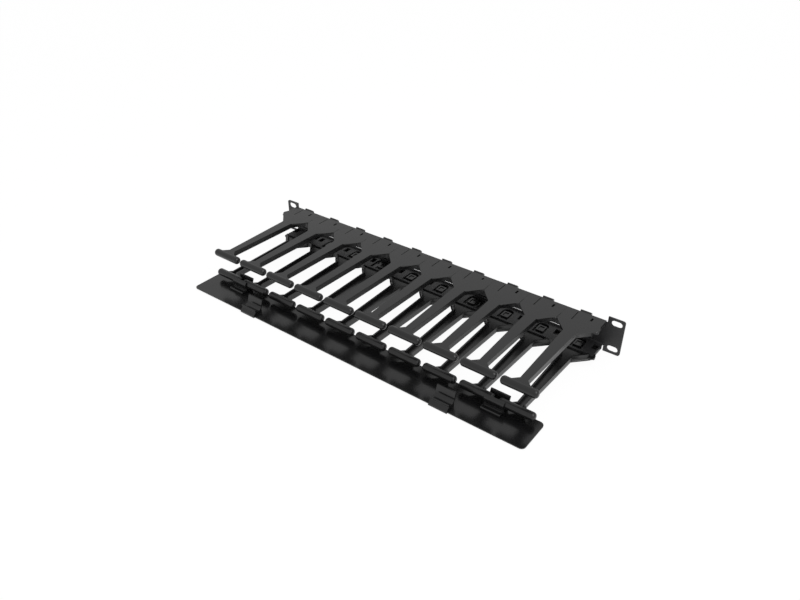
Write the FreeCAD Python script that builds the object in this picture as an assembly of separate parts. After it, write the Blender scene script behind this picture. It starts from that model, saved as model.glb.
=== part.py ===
import FreeCAD, Part
import math
import os

os.makedirs("parts", exist_ok=True)

V = FreeCAD.Vector
ALONG_X = V(1, 0, 0)
ALONG_Y = V(0, 1, 0)
ALONG_Z = V(0, 0, 1)

# Driving sizes in mm. X runs to the right, the front is -Y, Z is up.
# y = 0 is the front face of the rack ears and z = 0 is half way up the unit.

# Rack ears: 19-inch rack, one unit
PANEL_WIDTH = 482.6
EAR_HEIGHT = 43.66
EAR_WIDTH = 18.7
EAR_CORNER_R = 2.6
SLOT_SPACING_X = 465.1
SLOT_SPACING_Z = 31.75
SLOT_LENGTH = 12.0
SLOT_WIDTH = 7.0

# Folded sheet channel
SHEET = 1.6
BEND_R = 1.2
CHANNEL_HALF = 15.5
FLANGE_DEPTH = 25.5
FLANGE_INSET = 0.6
FLANGE_CORNER_R = 3.0
CATCH_HOLE_WIDTH = 13.4
CATCH_HOLE_REAR = 2.8
CATCH_HOLE_FRONT = 22.6
CATCH_HOLE_R = 5.0
BAR_HOLE_WIDTH = 20.4
BAR_HOLE_SHIFT = 2.4
SNAP_SLOT_X = 17.5
SNAP_SLOT_WIDTH = 6.0
SNAP_SLOT_REAR = 5.0
SNAP_SLOT_FRONT = 14.3

# Cable windows in the rear web
WINDOW_HALF_HEIGHT = 12.0
WINDOW_R = 4.0
WINDOW_INNER_HALF = 61.0
WINDOW_BAR = 18.0
WINDOW_END = 198.0

# Finger moulding: base, stem and T-shaped head
FINGERS = 10
PITCH = 44.45
FINGER_GAP = 0.1
SKIN = 2.7
RIB_DEPTH = 6.4
RIB_WALL = 1.8
BASE_REAR = 2.6
BASE_FRONT = 29.4
BAY_STRAIGHT = 8.6
STEM_START = 42.0
STEM_HALF_REAR = 6.8
STEM_END = 137.6
STEM_HALF_FRONT = 4.3
FLARE = 6.2
HEAD_HALF = 19.9
ROD_R = 4.5
ROD_FLAT = 0.1
ROD_Y = -145.6
OUTER_BEVEL = 1.4
RELIEF = 0.3
RELIEF_START = 17.5
END_CORNER_R = 4.0

# Rear hook and slits of each finger, and the boss that sits in its catch hole
HOOK_LEFT = -8.0
HOOK_RIGHT = 4.2
HOOK_STEP = 0.8
HOOK_DROP = 4.6
HOOK_THICK = 1.0
HOOK_ROOT = 1.4
HOOK_BEVEL = 1.4
HOOK_TIP_BEVEL = 0.5
BOSS_WIDTH = 9.0
BOSS_LENGTH = 10.4
BOSS_WALL = 1.8
BOSS_HEIGHT = 1.4
SLIT_WIDTH = 0.8
SLIT_REAR = 5.8
SLIT_FRONT = 22.0
NOTCH_X = 9.4
NOTCH_WIDTH = 1.9
NOTCH_REAR = 8.2
NOTCH_FRONT = 13.0

# Cover, drawn open: level, in front of and below the lower row
COVER_LENGTH = 454.4
COVER_HEIGHT = 42.4
COVER_THICK = 1.6
COVER_CORNER_R = 5.0
COVER_BEVEL = 0.4
COVER_DROP = 8.7

# Hinge clips and latch hooks; their profiles are measured from the rod axis
CLIP_WIDTH = 22.0
CLIP_CLEAR = 0.3
CLIP_WALL = 1.6
CLIP_GRIP_ANGLE = 124.0
HOOK_GRIP_ANGLE = 205.0
LIP_ROOT = 0.6
LIP_REACH = 8.3
LIP_RISE = 4.9
HOOK_LIP_RISE = 5.7
FOOT_REACH = 12.3
FOOT_HEIGHT = 3.0
FOOT_BEVEL = 0.8
FOOT_RIM = 1.1
FOOT_RECESS = 0.9
THUMB_SHOULDER_Y = 4.4
THUMB_SHOULDER_Z = 4.7
THUMB_OVERHANG = 0.8
THUMB_LAP = 2.4
THUMB_LIP = 0.7
HINGE_SEAM = 4
LATCH_SEAM = 3

# Sizes that follow from the ones above
FOLD_X = PANEL_WIDTH / 2 - EAR_WIDTH
SKIN_TOP = CHANNEL_HALF + SKIN
ROD_Z = SKIN_TOP + ROD_FLAT - ROD_R
BASE_HALF = (PITCH - FINGER_GAP) / 2
BAY_EDGE = (PITCH - BAY_STRAIGHT) / 2
COVER_TOP = -ROD_Z - COVER_DROP
LATCH_Y = ROD_Y - 2 * ROD_Z
COVER_FAR = LATCH_Y - (COVER_HEIGHT / 2 - ROD_Z)
GRIP_IN = ROD_R + CLIP_CLEAR
GRIP_OUT = GRIP_IN + CLIP_WALL


def face_xy(points, z):
    corners = [V(x, y, z) for x, y in points]
    return Part.Face(Part.makePolygon(corners + corners[:1]))


def mirror_x(points):
    return [(-x, y) for x, y in reversed(points)]


def bar_yz(points, x0, x1):
    """Bar along X with the given (y, z) profile."""
    corners = [V(x0, y, z) for y, z in points]
    return Part.Face(Part.makePolygon(corners + corners[:1])).extrude(V(x1 - x0, 0, 0))


def box(x0, x1, y0, y1, z0, z1):
    return Part.makeBox(x1 - x0, y1 - y0, z1 - z0, V(x0, y0, z0))


def rod_x(r, x0, x1, y, z):
    return Part.makeCylinder(r, x1 - x0, V(x0, y, z), ALONG_X)


def edges_along(shape, axis):
    """Straight edges of a shape that run along one axis."""
    found = []
    for edge in shape.Edges:
        if len(edge.Vertexes) == 2 and isinstance(edge.Curve, Part.Line):
            step = edge.Vertexes[1].Point - edge.Vertexes[0].Point
            if abs(step.dot(axis)) > 0.999 * step.Length:
                found.append(edge)
    return found


def rounded_box(x0, x1, y0, y1, z0, z1, r, axis):
    """Block whose four edges along the axis are rounded."""
    block = box(x0, x1, y0, y1, z0, z1)
    return block.makeFillet(r, edges_along(block, axis))


def both_rows(shape):
    """The same thing turned over for the lower row."""
    turned = shape.copy()
    turned.rotate(V(0, 0, 0), V(0, 1, 0), 180)
    return shape, turned


def finger_x(i):
    """X of the i-th finger of a row, counted from the left."""
    return (i - (FINGERS - 1) / 2) * PITCH


def seam_x(n):
    """X of the n-th joint between fingers, counted from the middle."""
    return n * PITCH


# Rack bracket: one sheet folded into a channel, with the ears in the plane of its web

def channel():
    h = CHANNEL_HALF
    t = SHEET
    profile = [(-FLANGE_DEPTH, h), (t, h), (t, -h), (-FLANGE_DEPTH, -h)]
    profile += [(-FLANGE_DEPTH, t - h), (0, t - h), (0, h - t), (-FLANGE_DEPTH, h - t)]
    sheet = bar_yz(profile, -FOLD_X, FOLD_X)
    outer = [e for e in edges_along(sheet, ALONG_X) if e.Vertexes[0].Point.y > t / 2]
    sheet = sheet.makeFillet(BEND_R + t, outer)
    inner = [e for e in edges_along(sheet, ALONG_X) if abs(e.Vertexes[0].Point.y) < 0.01]
    sheet = sheet.makeFillet(BEND_R, inner)
    for side in (-1, 1):
        end = side * (FOLD_X - FLANGE_INSET)
        far = side * (FOLD_X + 1)
        x0, x1 = sorted((end, far))
        sheet = sheet.cut(box(x0, x1, -FLANGE_DEPTH - 1, 0, -h - 1, h + 1))
    corners = [e for e in edges_along(sheet, ALONG_Z) if e.Vertexes[0].Point.y < 1 - FLANGE_DEPTH]
    return sheet.makeFillet(FLANGE_CORNER_R, corners)


def catch_hole(x, half):
    """Outline of a catch hole, with its two rear corners cut round."""
    r = CATCH_HOLE_R
    k = r * (1 - math.sqrt(0.5))
    corner = [(half, -CATCH_HOLE_REAR - r), (half - k, -CATCH_HOLE_REAR - k), (half - r, -CATCH_HOLE_REAR)]
    right = [(half, -CATCH_HOLE_FRONT)] + corner
    return [(x + dx, y) for dx, y in right + mirror_x(right)]


def flange_cutters():
    """Punches through both flanges: one catch hole and two snap slots per finger."""
    z = CHANNEL_HALF + 1
    cutters = []
    bar_x = WINDOW_INNER_HALF + WINDOW_BAR / 2
    for i in range(FINGERS):
        x = finger_x(i)
        if abs(abs(x) - bar_x) < PITCH / 3:
            catch = catch_hole(x + math.copysign(BAR_HOLE_SHIFT, x), BAR_HOLE_WIDTH / 2)
        else:
            catch = catch_hole(x, CATCH_HOLE_WIDTH / 2)
        cutters.append(face_xy(catch, -z).extrude(V(0, 0, 2 * z)))
        for side in (-1, 1):
            middle = x + side * SNAP_SLOT_X
            half = SNAP_SLOT_WIDTH / 2
            cutters.append(box(middle - half, middle + half, -SNAP_SLOT_FRONT, -SNAP_SLOT_REAR, -z, z))
    return cutters


def window_cutters():
    side_start = WINDOW_INNER_HALF + WINDOW_BAR
    h = WINDOW_HALF_HEIGHT
    spans = [(-WINDOW_END, -side_start), (-WINDOW_INNER_HALF, WINDOW_INNER_HALF), (side_start, WINDOW_END)]
    return [rounded_box(x0, x1, -1, SHEET + 1, -h, h, WINDOW_R, ALONG_Y) for x0, x1 in spans]


def slot_cutter(x, z):
    """Slot for a cage-nut screw, with round ends."""
    r = SLOT_WIDTH / 2
    half = SLOT_LENGTH / 2 - r
    depth = SHEET + 2
    middle = box(x - half, x + half, -1, SHEET + 1, z - r, z + r)
    ends = [Part.makeCylinder(r, depth, V(end, -1, z), ALONG_Y) for end in (x - half, x + half)]
    return middle.fuse(ends)


def ear(side):
    """Ear plate with its two slots."""
    x0, x1 = sorted((side * FOLD_X, side * PANEL_WIDTH / 2))
    h = EAR_HEIGHT / 2
    plate = box(x0, x1, 0, SHEET, -h, h)
    rounded = [e for e in edges_along(plate, ALONG_Y) if abs(e.Vertexes[0].Point.x) > FOLD_X + 1]
    plate = plate.makeFillet(EAR_CORNER_R, rounded)
    for level in (-1, 1):
        plate = plate.cut(slot_cutter(side * SLOT_SPACING_X / 2, level * SLOT_SPACING_Z / 2))
    return plate


def rack_bracket():
    sheet = channel()
    for cutter in flange_cutters() + window_cutters():
        sheet = sheet.cut(cutter)
    sheet = sheet.fuse([ear(-1), ear(1)])
    return sheet.removeSplitter()


# Finger moulding: a skin over a perimeter rib, with a rod across the end of the head

def unit(a, b):
    length = math.hypot(b[0] - a[0], b[1] - a[1])
    return (b[0] - a[0]) / length, (b[1] - a[1]) / length


def inset(chain, d):
    """Open chain of points moved d to its right-hand side, with mitred corners."""
    moved = []
    last = len(chain) - 1
    for i, p in enumerate(chain):
        after = unit(p, chain[i + 1]) if i < last else unit(chain[i - 1], p)
        before = unit(chain[i - 1], p) if i > 0 else after
        nx = before[1] + after[1]
        ny = -before[0] - after[0]
        scale = d / (1 + before[0] * after[0] + before[1] * after[1])
        moved.append((p[0] + nx * scale, p[1] + ny * scale))
    return moved


def rib_chain():
    """Edge of the finger from the bay along the stem into the head, right side."""
    return [
        (BAY_EDGE, -BASE_FRONT),
        (STEM_HALF_REAR, -STEM_START),
        (STEM_HALF_FRONT, -STEM_END),
        (STEM_HALF_FRONT + FLARE, -STEM_END - FLARE),
        (STEM_HALF_FRONT + FLARE, ROD_Y),
    ]


def finger_skin():
    eased = BASE_HALF - RELIEF
    right = [(BASE_HALF, -BASE_REAR), (BASE_HALF, -RELIEF_START), (eased, -RELIEF_START)]
    right += [(eased, -BASE_FRONT)] + rib_chain()
    skin = face_xy(right + mirror_x(right), CHANNEL_HALF).extrude(V(0, 0, SKIN))
    front = [e for e in skin.Edges if min(v.Point.z for v in e.Vertexes) > SKIN_TOP - 0.01
             and max(v.Point.y for v in e.Vertexes) < -BASE_FRONT + 0.01
             and min(v.Point.y for v in e.Vertexes) > -STEM_END - FLARE - 0.01]
    return skin.makeChamfer(OUTER_BEVEL, front)


def finger_ribs():
    chain = rib_chain()
    wall = chain + list(reversed(inset(chain, RIB_WALL)))
    z = SKIN_TOP - RIB_DEPTH
    right = face_xy(wall, z).extrude(V(0, 0, CHANNEL_HALF - z))
    left = face_xy(mirror_x(wall), z).extrude(V(0, 0, CHANNEL_HALF - z))
    return [right, left]


def finger_rod():
    rod = rod_x(ROD_R, -HEAD_HALF, HEAD_HALF, ROD_Y, ROD_Z)
    above = box(-HEAD_HALF, HEAD_HALF, ROD_Y - ROD_R, ROD_Y + ROD_R, SKIN_TOP, SKIN_TOP + ROD_R)
    return rod.cut(above)


def finger_hook():
    """Rear hook that laps over the bend and down behind the web."""
    root = -BASE_REAR - HOOK_ROOT
    top = SKIN_TOP - HOOK_STEP
    back = SHEET + HOOK_THICK
    tip = SKIN_TOP - HOOK_DROP
    profile = [(root, CHANNEL_HALF), (root, top), (back - HOOK_BEVEL, top), (back, top - HOOK_BEVEL)]
    profile += [(back, tip + HOOK_TIP_BEVEL), (back - HOOK_TIP_BEVEL, tip)]
    profile += [(SHEET, tip), (SHEET, CHANNEL_HALF)]
    return bar_yz(profile, HOOK_LEFT, HOOK_RIGHT)


def finger_boss():
    """Hollow square boss under the skin, in the middle of the catch hole."""
    middle = -(CATCH_HOLE_REAR + CATCH_HOLE_FRONT) / 2
    low = CHANNEL_HALF - BOSS_HEIGHT
    w = BOSS_WIDTH / 2
    h = BOSS_LENGTH / 2
    boss = box(-w, w, middle - h, middle + h, low, CHANNEL_HALF)
    w = w - BOSS_WALL
    h = h - BOSS_WALL
    return boss.cut(box(-w, w, middle - h, middle + h, low - 1, CHANNEL_HALF + 1))


def finger():
    body = finger_skin().fuse(finger_ribs() + [finger_rod(), finger_hook(), finger_boss()])
    low = CHANNEL_HALF - 1
    high = SKIN_TOP + 1
    slit = box(HOOK_LEFT - SLIT_WIDTH, HOOK_LEFT, -SLIT_FRONT, -SLIT_REAR, low, high)
    notch = box(NOTCH_X - NOTCH_WIDTH / 2, NOTCH_X + NOTCH_WIDTH / 2, -NOTCH_FRONT, -NOTCH_REAR, low, high)
    return body.cut([slit, notch]).removeSplitter()


def end_corner(side):
    """Cutter that rounds off the outer front corner of the last finger of a row."""
    r = END_CORNER_R
    k = r * (1 - math.sqrt(0.5))
    x = (FINGERS - 1) / 2 * PITCH + BASE_HALF - RELIEF
    y = -BASE_FRONT
    outline = [(x + 1, y - 1), (x + 1, y + r), (x, y + r), (x - k, y + k), (x - r, y), (x - r, y - 1)]
    if side < 0:
        outline = mirror_x(outline)
    h = SKIN_TOP + 1
    return face_xy(outline, -h).extrude(V(0, 0, 2 * h))


# Cover panel, hinge clips and latch hooks, in the open pose

def cover_panel():
    half = COVER_LENGTH / 2
    panel = rounded_box(-half, half, COVER_FAR, COVER_FAR + COVER_HEIGHT,
                        COVER_TOP - COVER_THICK, COVER_TOP, COVER_CORNER_R, ALONG_Z)
    under = COVER_TOP - COVER_THICK + 0.01
    rim = [e for e in panel.Edges if max(v.Point.z for v in e.Vertexes) < under]
    return panel.makeChamfer(COVER_BEVEL, rim)


def grip(x, y, grip_angle, lip_rise):
    """Part ring round a rod axis, open at the top, with a flared lip at its rear."""
    x0 = x - CLIP_WIDTH / 2
    x1 = x + CLIP_WIDTH / 2
    ring = rod_x(GRIP_OUT, x0, x1, y, -ROD_Z)
    reach = 3 * GRIP_OUT
    mouth = [(y, -ROD_Z)]
    for k in range(4):
        a = math.radians(grip_angle * k / 3)
        mouth.append((y + reach * math.cos(a), -ROD_Z + reach * math.sin(a)))
    ring = ring.cut(bar_yz(mouth, x0 - 1, x1 + 1))
    top = -ROD_Z + lip_rise
    lip = [(y + GRIP_IN, -ROD_Z - LIP_ROOT), (y + GRIP_OUT, -ROD_Z - LIP_ROOT), (y + LIP_REACH, top)]
    lip += [(y + LIP_REACH - CLIP_WALL, top), (y + GRIP_IN, -ROD_Z)]
    saddle = box(x0, x1, y - GRIP_IN, y + GRIP_IN, COVER_TOP, -ROD_Z - GRIP_IN + CLIP_WALL)
    return ring, bar_yz(lip, x0, x1), saddle


def bored(parts, x, y):
    """Fuse the parts of a clip and clear the bore for the rod."""
    solid = parts[0].fuse(list(parts[1:]))
    bore = rod_x(GRIP_IN, x - CLIP_WIDTH, x + CLIP_WIDTH, y, -ROD_Z)
    return solid.cut(bore).removeSplitter()


def hinge_clip(x):
    y = ROD_Y
    ring, lip, saddle = grip(x, y, CLIP_GRIP_ANGLE, LIP_RISE)
    top = COVER_TOP + FOOT_HEIGHT
    profile = [(y - FOOT_REACH, COVER_TOP), (y - GRIP_IN, COVER_TOP), (y - GRIP_IN, top)]
    profile += [(y - FOOT_REACH + FOOT_BEVEL, top), (y - FOOT_REACH, top - FOOT_BEVEL)]
    foot = bar_yz(profile, x - CLIP_WIDTH / 2, x + CLIP_WIDTH / 2)
    clip = bored([ring, lip, saddle, foot], x, y)
    half = CLIP_WIDTH / 2 - FOOT_RIM
    front = y - FOOT_REACH + FOOT_BEVEL + FOOT_RIM
    recess = box(x - half, x + half, front, y - GRIP_OUT, top - FOOT_RECESS, top + 1)
    return clip.cut(recess)


def latch_hook(x):
    y = LATCH_Y
    ring, lip, saddle = grip(x, y, HOOK_GRIP_ANGLE, HOOK_LIP_RISE)
    shoulder = -ROD_Z - THUMB_SHOULDER_Z
    under = COVER_TOP - COVER_THICK
    edge = COVER_FAR
    far = edge - THUMB_OVERHANG
    thumb = [(y, COVER_TOP), (y, shoulder), (y - THUMB_SHOULDER_Y, shoulder), (far, COVER_TOP)]
    thumb += [(far, under - THUMB_LIP), (edge + THUMB_LAP, under - THUMB_LIP)]
    thumb += [(edge + THUMB_LAP, under), (edge, under), (edge, COVER_TOP)]
    block = bar_yz(thumb, x - CLIP_WIDTH / 2, x + CLIP_WIDTH / 2)
    return bored([ring, lip, saddle, block], x, y)


def export(shape, name):
    shape.exportStep("parts/" + name + ".step")


export(rack_bracket(), "rack_bracket")

upper, lower = both_rows(finger())
for i in range(FINGERS):
    x = finger_x(i)
    for shape, row in ((upper, "upper"), (lower, "lower")):
        placed = shape.copy()
        placed.translate(V(x, 0, 0))
        if i in (0, FINGERS - 1):
            placed = placed.cut(end_corner(math.copysign(1, x)))
        export(placed, "%s_finger_%02d" % (row, i + 1))

export(cover_panel(), "cover_panel")
export(hinge_clip(seam_x(-HINGE_SEAM)), "hinge_clip_left")
export(hinge_clip(seam_x(HINGE_SEAM)), "hinge_clip_right")
export(latch_hook(seam_x(-LATCH_SEAM)), "latch_hook_left")
export(latch_hook(seam_x(LATCH_SEAM)), "latch_hook_right")
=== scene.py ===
import math
import bmesh
import bpy
from mathutils import Matrix, Vector


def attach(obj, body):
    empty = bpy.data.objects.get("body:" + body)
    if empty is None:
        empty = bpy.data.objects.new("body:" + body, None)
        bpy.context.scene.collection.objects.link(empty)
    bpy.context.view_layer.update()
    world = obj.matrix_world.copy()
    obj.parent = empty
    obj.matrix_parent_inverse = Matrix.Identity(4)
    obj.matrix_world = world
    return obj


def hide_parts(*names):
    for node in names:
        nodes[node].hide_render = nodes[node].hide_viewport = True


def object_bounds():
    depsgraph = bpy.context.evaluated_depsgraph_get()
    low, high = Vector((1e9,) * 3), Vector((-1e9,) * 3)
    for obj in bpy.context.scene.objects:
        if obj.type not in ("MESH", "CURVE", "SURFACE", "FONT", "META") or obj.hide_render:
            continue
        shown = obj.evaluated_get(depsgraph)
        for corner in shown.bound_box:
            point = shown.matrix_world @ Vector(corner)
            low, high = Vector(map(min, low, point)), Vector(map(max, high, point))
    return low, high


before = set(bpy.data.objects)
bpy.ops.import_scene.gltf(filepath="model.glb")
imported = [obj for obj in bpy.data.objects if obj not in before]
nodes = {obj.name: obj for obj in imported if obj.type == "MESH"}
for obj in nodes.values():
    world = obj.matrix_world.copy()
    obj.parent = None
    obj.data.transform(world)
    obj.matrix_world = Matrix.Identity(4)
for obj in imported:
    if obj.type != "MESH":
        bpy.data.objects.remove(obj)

cad_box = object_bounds()


# Rack bracket: one sheet of 1.6 mm steel, punched, then folded into a channel with
# two slotted ears. It is powder coated black, which leaves a fine orange-peel skin.

class Wire:
    """An output socket of a shader node; sums and products of wires add Math nodes."""

    def __init__(self, finish, socket):
        self.finish = finish
        self.socket = socket

    def maths(self, operation, first, second):
        return self.finish.node("ShaderNodeMath", {"operation": operation}, {0: first, 1: second})

    def __add__(self, other):
        return self.maths("ADD", self, other)

    def __radd__(self, other):
        return self.maths("ADD", other, self)

    def __mul__(self, other):
        return self.maths("MULTIPLY", self, other)

    def __rmul__(self, other):
        return self.maths("MULTIPLY", other, self)


class Finish:
    """A new material with its Principled shader, built up node by node."""

    def __init__(self, name, constants):
        self.material = bpy.data.materials.new(name)
        self.material.use_nodes = True
        self.tree = self.material.node_tree
        self.shader = self.tree.nodes["Principled BSDF"]
        for socket, value in constants.items():
            self.shader.inputs[socket].default_value = value

    def node(self, kind, settings, inputs, output=0):
        made = self.tree.nodes.new(kind)
        for name, value in settings.items():
            setattr(made, name, value)
        for name, value in inputs.items():
            if isinstance(value, Wire):
                self.tree.links.new(value.socket, made.inputs[name])
            else:
                made.inputs[name].default_value = value
        return Wire(self, made.outputs[output])

    def place(self):
        """Where a point is on the piece, in metres."""
        return self.node("ShaderNodeTexCoord", {}, {}, "Object")

    def noise(self, scale, detail):
        """Soft noise from 0 to 1, with so many blobs to the metre."""
        inputs = {"Vector": self.place(), "Scale": scale, "Detail": detail}
        return self.node("ShaderNodeTexNoise", {}, inputs)

    def between(self, mask, low, high):
        """A colour that goes from one to the other with the mask."""
        inputs = {0: mask, 6: low + (1,), 7: high + (1,)}
        return self.node("ShaderNodeMix", {"data_type": "RGBA"}, inputs, 2)

    def bump(self, height, distance):
        return self.node("ShaderNodeBump", {}, {"Height": height, "Distance": distance})

    def feed(self, socket, wire):
        self.tree.links.new(wire.socket, self.shader.inputs[socket])


def powder_coat():
    paint = Finish("black_powder_coat", {"IOR": 1.5})
    cloud = paint.noise(9.0, 3.0)
    peel = paint.noise(700.0, 2.0)
    speck = paint.noise(2600.0, 2.0)
    paint.feed("Base Color", paint.between(cloud, (0.017, 0.017, 0.018), (0.022, 0.022, 0.023)))
    paint.feed("Roughness", 0.42 + 0.1 * cloud + 0.06 * speck)
    paint.feed("Normal", paint.bump(peel + 0.4 * speck, 0.00006))
    return paint.material


def dress(node, material):
    """Gives a CAD node its finish."""
    for slot in nodes[node].material_slots:
        slot.material = material


dress("rack_bracket", powder_coat())


# Fingers: ten in each row, all from the same mould, in matt black plastic with a fine
# spark-eroded grain. Each is a thin skin over ribs, with a rod across its head and a
# hook that laps over the fold behind; one form is built here and placed twenty times.

# Sizes here are in mm, on an upper finger: x from its middle, y and z as in the frame.
MM = 0.001
NEAR = 0.01
LEVEL = 0.001
FINGER_COUNT = 10
PITCH = 44.45
SKIN_TOP = 18.2
SKIN_UNDER = 15.5
RIB_UNDER = 11.8
SEAM_RIB_UNDER = 11.1
RIB_WALL = 1.8
BASE_HALF = 22.175
EASED_HALF = 22.05
EASED_START = -17.5
BASE_REAR = -2.6
BASE_FRONT = -29.4
BAY_EDGE = 17.925
END_CORNER = 3.2
END_LOBE = 2.2
END_SWELL_REAR = -17.5
END_SWELL_LENGTH = 6.0
END_SWELL_STEPS = 4
END_CORNER_STEPS = 5
STEM_REAR = (6.8, -42.0)
STEM_BLEND = (6.73, -44.6)
STEM_FRONT = (4.3, -137.6)
HEAD_FLARE = (10.5, -143.8)
ROD_PLACE = (-145.6, 13.8)
ROD_RADIUS = 4.5
ROD_HALF = 19.9
ROD_DOME = 3.4
ROD_DOME_STEPS = 6
ROD_SIDES = 40
BAY_ROUND = 2.3
BAY_ROUND_STEPS = 6
STEM_ROUND = 0.35
FINE_EDGE = 0.35
FINE_STEPS = 2
RIM_ANGLE = 1.0
CORNER_ANGLE = math.radians(35)
SMOOTH_ANGLE = math.radians(40)
SLIT = (-8.8, -8.0, -22.0, -5.8)
NOTCH = (8.3, 10.5, -13.8, -7.8)
PUNCH_PAST = 1.0
POCKET_TOP = 17.2
CATCH_POCKET_TOP = 16.4
CATCH_POCKET = (-6.3, 6.3, -22.2, -3.2)
SIDE_POCKETS = ((14.8, 20.2, -14.0, -5.3), (-20.2, -14.8, -14.0, -5.3))
HOOK = [(-4.0, 15.5), (-4.0, 17.2), (-1.9, 17.2), (-0.7, 18.6), (-0.2, 18.8), (0.4, 18.7), (2.6, 16.4),
        (2.6, 14.1), (2.1, 13.6), (1.6, 13.6), (1.6, 15.5)]
HOOK_SPAN = (-8.0, 4.2)
BOSS_MIDDLE = -12.7
BOSS_HALF = (4.5, 5.2)
BOSS_WALL = 1.8
BOSS_UNDER = 14.1
BOSS_DENT = 0.9


def finger_plastic():
    plastic = Finish("finger_plastic", {"IOR": 1.5})
    cloud = plastic.noise(14.0, 3.0)
    grain = plastic.noise(1900.0, 3.0)
    flow = plastic.noise(70.0, 2.0)
    plastic.feed("Base Color", plastic.between(cloud, (0.006, 0.006, 0.0062), (0.0085, 0.0085, 0.0088)))
    plastic.feed("Roughness", 0.24 + 0.06 * flow + 0.05 * grain)
    plastic.feed("Normal", plastic.bump(grain, 0.000012))
    return plastic.material


def slab(form, outline, low, high):
    """Flat plate from an outline in x and y; returns the edges round its top."""
    under = [form.verts.new((x, y, low)) for x, y in outline]
    upper = [form.verts.new((x, y, high)) for x, y in outline]
    form.faces.new(list(reversed(under)))
    form.faces.new(upper)
    count = len(outline)
    rims = []
    for i in range(count):
        k = (i + 1) % count
        form.faces.new((under[i], under[k], upper[k], upper[i]))
        rims.append(form.edges.get((upper[i], upper[k])))
    return rims


def round_over(form, edges, width, steps):
    bmesh.ops.bevel(form, geom=edges, offset=width, offset_type="OFFSET", segments=steps, profile=0.5,
                    affect="EDGES", clamp_overlap=False)


def turned_round(points):
    return [(-x, y) for x, y in reversed(points)]


def base_outline(corner):
    """Outline of the skin; corner 1 or -1 gives the right or left front corner its round lobe."""
    rear = (BASE_HALF, BASE_REAR)
    plain = [rear, (BASE_HALF, EASED_START), (EASED_HALF, EASED_START), (EASED_HALF, BASE_FRONT)]
    end = BASE_HALF + END_LOBE
    swell = []
    for k in range(END_SWELL_STEPS + 1):
        t = k / END_SWELL_STEPS
        x = BASE_HALF + END_LOBE * t * t * (3 - 2 * t)
        swell.append((x, END_SWELL_REAR - END_SWELL_LENGTH * t))
    lobe = []
    for k in range(END_CORNER_STEPS + 1):
        a = math.pi / 2 * k / END_CORNER_STEPS
        x = end - END_CORNER * (1 - math.cos(a))
        lobe.append((x, BASE_FRONT + END_CORNER * (1 - math.sin(a))))
    rest = [(BAY_EDGE, BASE_FRONT), STEM_REAR, STEM_BLEND, STEM_FRONT]
    rest += [HEAD_FLARE, (HEAD_FLARE[0], ROD_PLACE[0])]
    right = ([rear] + swell + lobe if corner > 0 else plain) + rest
    left = ([rear] + swell + lobe if corner < 0 else plain) + rest
    return list(reversed(right + turned_round(left)))


def rear_end(edge):
    return max(v.co.y for v in edge.verts)


def front_end(edge):
    return min(v.co.y for v in edge.verts)


def skin_plate(corner):
    """The skin, with a full round along each bay and a slight one along the stem and head."""
    form = bmesh.new()
    rims = slab(form, base_outline(corner), SKIN_UNDER, SKIN_TOP)
    bay = [e for e in rims if rear_end(e) < BASE_FRONT + END_CORNER + NEAR
           and front_end(e) > STEM_REAR[1] - NEAR]
    round_over(form, bay, BAY_ROUND, BAY_ROUND_STEPS)
    top = [e for e in form.edges if all(abs(v.co.z - SKIN_TOP) < LEVEL for v in e.verts)]
    stem = [e for e in top if e.calc_face_angle(0) > RIM_ANGLE
            and ROD_PLACE[0] + NEAR < rear_end(e) < STEM_REAR[1]]
    round_over(form, stem, STEM_ROUND, FINE_STEPS)
    return form


def cut_out(form, holes):
    """Punches upright rectangular holes into a plate, each from below up to its own height."""
    plate = bpy.data.objects.new("plate", bpy.data.meshes.new("plate"))
    form.to_mesh(plate.data)
    form.clear()
    for (x0, x1, y0, y1), top in holes:
        slab(form, [(x0, y0), (x1, y0), (x1, y1), (x0, y1)], SKIN_UNDER - PUNCH_PAST, top)
    punch = bpy.data.objects.new("punch", bpy.data.meshes.new("punch"))
    form.to_mesh(punch.data)
    form.free()
    for thing in (plate, punch):
        bpy.context.scene.collection.objects.link(thing)
    cutting = plate.modifiers.new("cut", "BOOLEAN")
    cutting.operation = "DIFFERENCE"
    cutting.solver = "EXACT"
    cutting.object = punch
    view = bpy.context.evaluated_depsgraph_get()
    cut = bmesh.new()
    cut.from_object(plate, view)
    for thing in (plate, punch):
        mesh = thing.data
        bpy.data.objects.remove(thing)
        bpy.data.meshes.remove(mesh)
    return cut


def inset(chain, d):
    """Open chain of points moved d to its right-hand side, with mitred corners."""
    moved = []
    last = len(chain) - 1
    for i, p in enumerate(chain):
        after = Vector(chain[min(i + 1, last)]) - Vector(chain[min(i, last - 1)])
        before = Vector(p) - Vector(chain[i - 1]) if i > 0 else after
        after.normalize()
        before.normalize()
        scale = d / (1 + before.dot(after))
        moved.append((p[0] + (before.y + after.y) * scale, p[1] - (before.x + after.x) * scale))
    return moved


def rib(form, chain, under):
    """Wall under the skin that follows a chain of its edge, on both sides of the finger."""
    wall = list(reversed(chain + list(reversed(inset(chain, RIB_WALL)))))
    for outline in (wall, turned_round(wall)):
        slab(form, outline, under, SKIN_UNDER)


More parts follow.
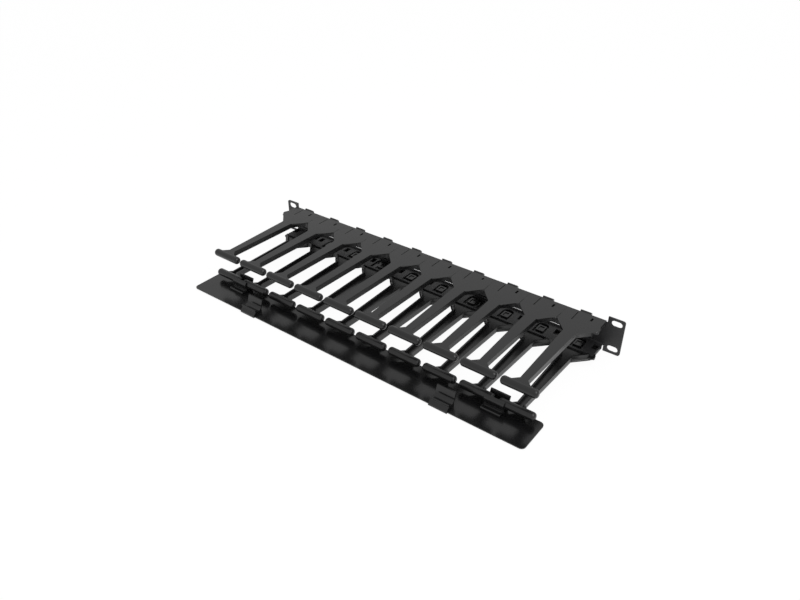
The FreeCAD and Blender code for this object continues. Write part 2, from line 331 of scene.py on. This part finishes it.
def rod(form):
    """Round rod across the head with domed ends."""
    rings = []
    for k in range(ROD_DOME_STEPS + 1):
        a = math.pi / 2 * k / ROD_DOME_STEPS
        r = ROD_RADIUS - ROD_DOME * (1 - math.cos(a))
        rings.append((ROD_HALF - ROD_DOME * (1 - math.sin(a)), r))
    profile = [(-x, r) for x, r in reversed(rings)] + rings
    y, z = ROD_PLACE
    turn = [2 * math.pi * i / ROD_SIDES for i in range(ROD_SIDES)]
    loops = []
    for x, r in profile:
        loops.append([form.verts.new((x, y + r * math.cos(a), z + r * math.sin(a))) for a in turn])
    for one, two in zip(loops, loops[1:]):
        for i in range(ROD_SIDES):
            k = (i + 1) % ROD_SIDES
            form.faces.new((one[i], one[k], two[k], two[i]))
    form.faces.new(list(reversed(loops[0])))
    form.faces.new(loops[-1])


def hook(form):
    """The hook that laps over the fold behind, drawn across its span."""
    rows = [[form.verts.new((x, y, z)) for y, z in HOOK] for x in HOOK_SPAN]
    count = len(HOOK)
    form.faces.new(rows[0])
    form.faces.new(list(reversed(rows[1])))
    for i in range(count):
        k = (i + 1) % count
        form.faces.new((rows[0][k], rows[0][i], rows[1][i], rows[1][k]))


def boss(form):
    """Four walls and the dented middle of the square boss under the skin."""
    w, h = BOSS_HALF
    t = BOSS_WALL
    y = BOSS_MIDDLE
    walls = [(-w, w, y - h, y - h + t), (-w, w, y + h - t, y + h),
             (-w, t - w, y - h + t, y + h - t), (w - t, w, y - h + t, y + h - t)]
    for x0, x1, y0, y1 in walls:
        slab(form, [(x0, y0), (x1, y0), (x1, y1), (x0, y1)], BOSS_UNDER, CATCH_POCKET_TOP)
    x1, y0, y1 = w - t, y - h + t, y + h - t
    slab(form, [(-x1, y0), (x1, y0), (x1, y1), (-x1, y1)], BOSS_UNDER + BOSS_DENT, CATCH_POCKET_TOP)


def finger_form(corner):
    """The whole moulding, with its rod, ribs, hook and boss."""
    through = [(hole, SKIN_TOP + PUNCH_PAST) for hole in (SLIT, NOTCH)]
    pockets = [(CATCH_POCKET, CATCH_POCKET_TOP)] + [(hole, POCKET_TOP) for hole in SIDE_POCKETS]
    form = cut_out(skin_plate(corner), through + pockets)
    under = bmesh.new()
    edge = [(BAY_EDGE, BASE_FRONT), STEM_REAR, STEM_FRONT, HEAD_FLARE, (HEAD_FLARE[0], ROD_PLACE[0])]
    rib(under, edge, RIB_UNDER)
    y = BASE_FRONT
    right_end = EASED_HALF - (END_CORNER if corner > 0 else 0)
    left_end = EASED_HALF - (END_CORNER if corner < 0 else 0)
    for x0, x1 in ((BAY_EDGE - RIB_WALL, right_end), (-left_end, RIB_WALL - BAY_EDGE)):
        seam = [(x0, y), (x1, y), (x1, y + RIB_WALL), (x0, y + RIB_WALL)]
        slab(under, seam, SEAM_RIB_UNDER, SKIN_UNDER)
    hook(under)
    boss(under)
    sharp = [e for e in under.edges if e.calc_face_angle(0) > CORNER_ANGLE
             and min(v.co.z for v in e.verts) < SKIN_UNDER - NEAR]
    round_over(under, sharp, FINE_EDGE, FINE_STEPS)
    rod(under)
    joined = bpy.data.meshes.new("joined")
    under.to_mesh(joined)
    under.free()
    form.from_mesh(joined)
    bpy.data.meshes.remove(joined)
    return form


def moulding(form, node, body, finish):
    """Makes a finished form, in metres, into a piece that stands for its CAD node."""
    mesh = bpy.data.meshes.new(node + "_moulding")
    form.to_mesh(mesh)
    form.free()
    mesh.shade_smooth()
    mesh.set_sharp_from_angle(angle=SMOOTH_ANGLE)
    mesh.materials.append(finish)
    piece = bpy.data.objects.new(node + "_moulding", mesh)
    bpy.context.scene.collection.objects.link(piece)
    even = piece.modifiers.new("even_normals", "WEIGHTED_NORMAL")
    even.keep_sharp = True
    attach(piece, body)
    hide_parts(node)


finger_finish = finger_plastic()
forms = {corner: finger_form(corner) for corner in (-1, 0, 1)}
for row, turn in (("upper", 0), ("lower", math.pi)):
    for i in range(FINGER_COUNT):
        end = {0: -1, FINGER_COUNT - 1: 1}.get(i, 0)
        finger = forms[end if row == "upper" else -end].copy()
        over = Matrix.Rotation(turn, 3, "Y")
        along = (i - (FINGER_COUNT - 1) / 2) * PITCH
        bmesh.ops.rotate(finger, verts=finger.verts, cent=(0, 0, 0), matrix=over)
        bmesh.ops.translate(finger, verts=finger.verts, vec=(along, 0, 0))
        bmesh.ops.scale(finger, verts=finger.verts, vec=(MM, MM, MM))
        moulding(finger, "%s_finger_%02d" % (row, i + 1), "frame", finger_finish)
for form in forms.values():
    form.free()


# Cover panel: a flat strip of satin black sheet with rounded corners, a little wavy as
# extruded sheet is, so that it mirrors the light in soft patches.

def cover_sheet():
    sheet = Finish("cover_sheet", {"IOR": 1.5})
    wave = sheet.noise(16.0, 1.0)
    haze = sheet.noise(45.0, 4.0)
    grain = sheet.noise(2300.0, 2.0)
    sheet.feed("Base Color", sheet.between(haze, (0.005, 0.005, 0.0052), (0.007, 0.007, 0.0073)))
    sheet.feed("Roughness", 0.13 + 0.06 * haze + 0.04 * grain)
    sheet.feed("Normal", sheet.bump(wave + 0.02 * grain, 0.0004))
    return sheet.material


dress("cover_panel", cover_sheet())


# Hinge clips and latch hooks: small black mouldings with a smoother, slightly glossier
# skin than the fingers and small rounded edges, bonded to the inside of the cover.

CLIP_EDGE = 0.3 * MM
SEAM_WELD = 0.001 * MM
FLAT_ANGLE = math.radians(0.5)


def clip_plastic():
    plastic = Finish("clip_plastic", {"IOR": 1.5})
    cloud = plastic.noise(60.0, 3.0)
    grain = plastic.noise(1500.0, 2.0)
    plastic.feed("Base Color", plastic.between(cloud, (0.005, 0.005, 0.0052), (0.0075, 0.0075, 0.0078)))
    plastic.feed("Roughness", 0.2 + 0.06 * cloud + 0.05 * grain)
    plastic.feed("Normal", plastic.bump(grain, 0.00001))
    return plastic.material


def clip_blank(node):
    """A copy of a clip's form with its seams welded and its flat faces whole."""
    form = bmesh.new()
    form.from_mesh(nodes[node].data)
    bmesh.ops.remove_doubles(form, verts=form.verts, dist=SEAM_WELD)
    bmesh.ops.dissolve_limit(form, angle_limit=FLAT_ANGLE, verts=form.verts, edges=form.edges)
    return form


clip_finish = clip_plastic()
for name in ("hinge_clip_left", "hinge_clip_right", "latch_hook_left", "latch_hook_right"):
    clip = clip_blank(name)
    sharp = [e for e in clip.edges if e.calc_face_angle(0) > CORNER_ANGLE]
    round_over(clip, sharp, CLIP_EDGE, FINE_STEPS)
    moulding(clip, name, "cover", clip_finish)


# Studio: a white sweep just below the cover, seen as plain white but still taking a
# soft shadow, an even pale room, and one broad light above the right-hand end.

FLOOR_GAP = 0.0006
FLOOR_HALF = 6.0
SEEN_SHARE = 0.92
MIRRORED_SHARE = 0.78
PAPER_WHITE = 1.03
ROOM_STRENGTH = 0.73
LIGHT_PLACE = (0.85, -0.25, 1.25)
LIGHT_AIM = (0.1, -0.06, 0)
LIGHT_WIDTH = 0.6
LIGHT_HEIGHT = 1.3
LIGHT_POWER = 8.0

floor_mesh = bpy.data.meshes.new("studio_floor")
floor_z = cad_box[0][2] - FLOOR_GAP
corners = [(x * FLOOR_HALF, y * FLOOR_HALF, floor_z) for x, y in ((-1, -1), (1, -1), (1, 1), (-1, 1))]
floor_mesh.from_pydata(corners, [], [(0, 1, 2, 3)])
floor = bpy.data.objects.new("studio_floor", floor_mesh)
bpy.context.scene.collection.objects.link(floor)


def floor_paper():
    paper = Finish("studio_paper", {"Base Color": (0.8, 0.8, 0.8, 1), "Roughness": 0.9})
    seen = paper.node("ShaderNodeLightPath", {}, {}, "Is Camera Ray")
    mirrored = paper.node("ShaderNodeLightPath", {}, {}, "Is Glossy Ray")
    through = paper.node("ShaderNodeLightPath", {}, {}, "Is Transmission Ray")
    white = paper.node("ShaderNodeEmission", {}, {"Color": (1, 1, 1, 1), "Strength": PAPER_WHITE})
    lit = Wire(paper, paper.shader.outputs[0])
    share = SEEN_SHARE * seen + MIRRORED_SHARE * mirrored + through
    mixed = paper.node("ShaderNodeMixShader", {}, {0: share, 1: lit, 2: white})
    paper.tree.links.new(mixed.socket, paper.tree.nodes["Material Output"].inputs["Surface"])
    return paper.material


floor_mesh.materials.append(floor_paper())

world = bpy.data.worlds.new("studio_room")
world.use_nodes = True
world.node_tree.nodes["Background"].inputs["Color"].default_value = (1, 1, 1, 1)
world.node_tree.nodes["Background"].inputs["Strength"].default_value = ROOM_STRENGTH
bpy.context.scene.world = world


lamp = bpy.data.lights.new("right_light", "AREA")
lamp.shape = "RECTANGLE"
lamp.size = LIGHT_WIDTH
lamp.size_y = LIGHT_HEIGHT
lamp.energy = LIGHT_POWER
soft_box = bpy.data.objects.new("right_light", lamp)
soft_box.location = LIGHT_PLACE
soft_box.rotation_euler = (Vector(LIGHT_AIM) - Vector(LIGHT_PLACE)).to_track_quat("-Z", "Y").to_euler()
bpy.context.scene.collection.objects.link(soft_box)


# Camera: from the right of the front, looking down on the whole length of the duct.
# After it comes the colour setting.

VIEW_AZIMUTH = 37.2
VIEW_ELEVATION = 33.33
CAMERA_PLACE = (0.41983, -0.61812, 0.44478)
LENS = 32.24

lens = bpy.data.cameras.new("camera")
lens.sensor_width = 36.0
lens.lens = LENS
camera = bpy.data.objects.new("camera", lens)
camera.location = CAMERA_PLACE
camera.rotation_euler = (math.radians(90 - VIEW_ELEVATION), 0, math.radians(VIEW_AZIMUTH))
bpy.context.scene.collection.objects.link(camera)
bpy.context.scene.camera = camera

bpy.context.scene.view_settings.view_transform = "Standard"
